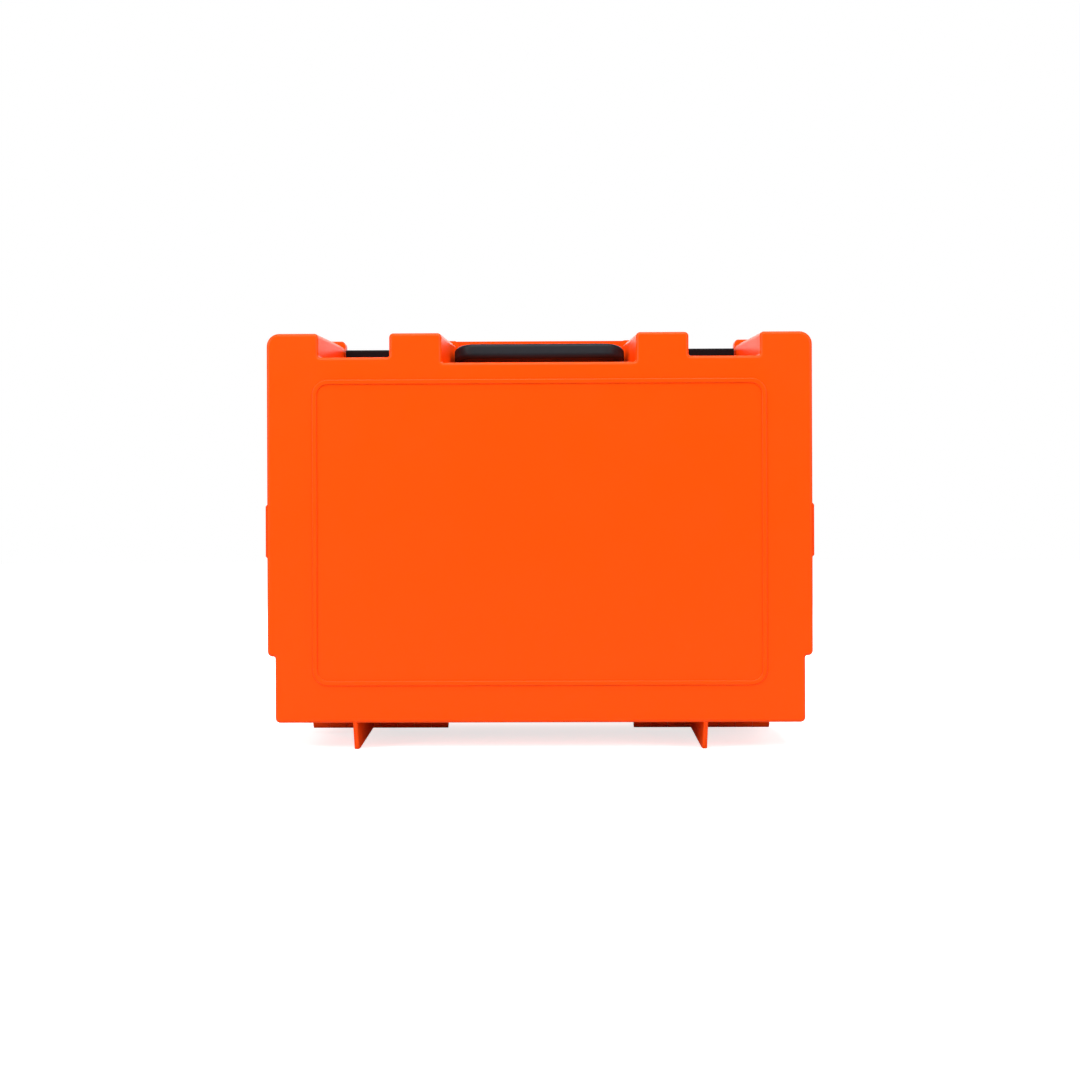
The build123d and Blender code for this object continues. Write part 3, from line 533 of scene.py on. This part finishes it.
def finish_piece(piece, material, node):
    """Bakes the place into the mesh, gives the piece its material and smooth shading, puts it on the base and
    hides the node that it replaces.
    """
    deselect()
    piece.select_set(True)
    bpy.context.view_layer.objects.active = piece
    bpy.ops.object.transform_apply(location=True, rotation=True, scale=True)
    piece.data.materials.clear()
    piece.data.materials.append(material)
    bpy.ops.object.shade_smooth_by_angle(angle=math.radians(40))
    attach(piece, "base")
    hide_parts(node)


def apply_modifiers(piece):
    deselect()
    piece.select_set(True)
    bpy.context.view_layer.objects.active = piece
    for modifier in list(piece.modifiers):
        bpy.ops.object.modifier_apply(modifier=modifier.name)


# %% Wound strips
roll_turns = 13
steps_a_turn = 36
gauze_thick = 0.9 * MM
roll_core = 3.5 * MM
roll_end_gap = 0.8 * MM  # between a roll's end and its place's
turn_a_roll = 1.1


def bandage_roll(node, turn):
    """A wound strip of gauze that fills the place of that node."""
    low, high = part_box(node)
    middle = (low + high) / 2
    outer = min(high.x - low.x, high.z - low.z) / 2 - gauze_thick
    mesh = bpy.data.meshes.new(node + "_wound")
    count = roll_turns * steps_a_turn
    points = []
    for step in range(count + 1):
        part = step / count
        radius = roll_core + (outer - roll_core) * part
        angle = turn + 2 * math.pi * roll_turns * part
        points.append((radius * math.cos(angle), low.y + roll_end_gap - middle.y, radius * math.sin(angle)))
    mesh.from_pydata(points, [(i, i + 1) for i in range(count)], [])
    piece = bpy.data.objects.new(node + "_wound", mesh)
    bpy.context.scene.collection.objects.link(piece)
    piece.location = middle
    deselect()
    piece.select_set(True)
    bpy.context.view_layer.objects.active = piece
    bpy.ops.object.mode_set(mode="EDIT")
    bpy.ops.mesh.select_all(action="SELECT")
    width = high.y - low.y - 2 * roll_end_gap
    bpy.ops.mesh.extrude_edges_move(TRANSFORM_OT_translate={"value": (0, width, 0)})
    bpy.ops.mesh.select_all(action="SELECT")
    bpy.ops.mesh.normals_make_consistent(inside=False)
    bpy.ops.object.mode_set(mode="OBJECT")
    shell = piece.modifiers.new("thickness", "SOLIDIFY")
    shell.thickness = gauze_thick
    shell.offset = 0
    apply_modifiers(piece)
    finish_piece(piece, gauze, node)
    return piece


rolls = [bandage_roll(f"bandage_roll_{i}", turn_a_roll * i) for i in range(1, 7)]
print("rolls:", len(rolls), "with", len(rolls[0].data.polygons), "faces each")

# %% [markdown]
# ## Sealed packets
# A sterile dressing, a cold pack or a folded blanket comes in a flat wrapping that is sealed round its
# edge. Its faces swell, its sides pull in between the corners, and creases run in from the seals. It could
# be blown up by a cloth simulation, but these packs are packed tightly against their neighbours and may
# not grow, so a divided block is shaped by a rule that never leaves its place in the case.

# %% Shape of a packet
corner_power = 6  # how late the body thins out towards its seals
side_pull = 0.02
slack = 0.06  # room that the creases may use
crease_depth = 0.06
creases_along, creases_across, crease_shift = 21, 17, 1.7
packet_cuts = 23


def swollen(place, seal, plump, wander):
    """Where a point of a block from -1 to 1 goes on a packet, thin along its third axis."""
    along, across, thin = place
    body = max(0.0, 1 - abs(along) ** corner_power) * max(0.0, 1 - abs(across) ** corner_power)
    thick = seal + (1 - seal) * body ** plump
    pull = side_pull * (1 - across * across), side_pull * (1 - along * along)
    edge = max(abs(along), abs(across))
    lengthwise = math.sin(wander + creases_along * along)
    crosswise = math.sin(crease_shift * wander + creases_across * across)
    crease = crease_depth * lengthwise * crosswise * edge * edge
    return along * (1 - pull[0]), across * (1 - pull[1]), thin * thick * (1 - slack + crease * body)


def packet(node, material, thin_axis, seal=0.12, plump=0.45):
    """A sealed packet that fills the place of that node."""
    low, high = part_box(node)
    deselect()
    bpy.ops.mesh.primitive_cube_add(size=2, location=(0, 0, 0))
    piece = bpy.context.object
    piece.name = node + "_packet"
    bpy.ops.object.mode_set(mode="EDIT")
    bpy.ops.mesh.select_all(action="SELECT")
    bpy.ops.mesh.subdivide(number_cuts=packet_cuts)
    bpy.ops.object.mode_set(mode="OBJECT")
    axes = [axis for axis in range(3) if axis != thin_axis] + [thin_axis]
    wander = sum(ord(letter) for letter in node) % 7
    middle, half = (low + high) / 2, (high - low) / 2
    for vertex in piece.data.vertices:
        given = swollen([vertex.co[axis] for axis in axes], seal, plump, wander)
        for axis, value in zip(axes, given):
            vertex.co[axis] = middle[axis] + half[axis] * value
    smooth = piece.modifiers.new("smooth", "SUBSURF")
    smooth.levels = smooth.render_levels = 1
    apply_modifiers(piece)
    finish_piece(piece, material, node)
    return piece


packs = [packet(f"wound_dressing_{i}", paper_wrap, 2) for i in range(1, 5)]
packs += [packet(f"compress_{i}", white_film, 1) for i in range(1, 5)]
packs.append(packet("cold_pack", blue_film, 1, plump=0.35))
packs.append(packet("triangular_bandage", paper_wrap, 1))
packs.append(packet("burn_sheet", silver_foil, 1))
packs.append(packet("glove_pack", white_film, 1))
packs.append(packet("rescue_blanket", gold_foil, 1))
packs.append(packet("wipes_pack", green_film, 1, plump=0.35))
print("packets:", len(packs), "with", len(packs[0].data.polygons), "faces each")

# %% [markdown]
# ## Carton of plasters
# A folded card box has blunt edges, a tuck flap with a thumb notch at its top, and a slightly bulged
# front. A plain block would look cast, so its lid's edge is cut round it and pressed in.

# %% Carton
seam_shares = (0.80, 0.815)  # where the lid's edge begins and ends, in the carton's height
seam_depth = 0.6 * MM
low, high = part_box("plaster_carton")
deselect()
bpy.ops.mesh.primitive_cube_add(size=2, location=(low + high) / 2, scale=(high - low) / 2)
carton = bpy.context.object
carton.name = "plaster_carton_folded"
bpy.ops.object.transform_apply(location=False, rotation=False, scale=True)
bpy.ops.object.mode_set(mode="EDIT")
for share in seam_shares:
    bpy.ops.mesh.select_all(action="SELECT")
    bpy.ops.mesh.bisect(plane_co=(0, 0, low.z + share * (high.z - low.z)), plane_no=(0, 0, 1))
bpy.ops.object.mode_set(mode="OBJECT")
seam_low, seam_high = (((share - 0.5) * (high.z - low.z)) for share in seam_shares)
for face in carton.data.polygons:
    face.select = seam_low < face.center.z < seam_high
bpy.ops.object.mode_set(mode="EDIT")
bpy.context.tool_settings.mesh_select_mode = (False, False, True)
bpy.ops.mesh.extrude_region_shrink_fatten(TRANSFORM_OT_shrink_fatten={"value": -seam_depth})
bpy.ops.object.mode_set(mode="OBJECT")
blunt = carton.modifiers.new("blunt", "BEVEL")
blunt.width = 0.5 * MM
blunt.segments = 2
blunt.limit_method = "ANGLE"
apply_modifiers(carton)
finish_piece(carton, card, "plaster_carton")
print("carton faces:", len(carton.data.polygons))
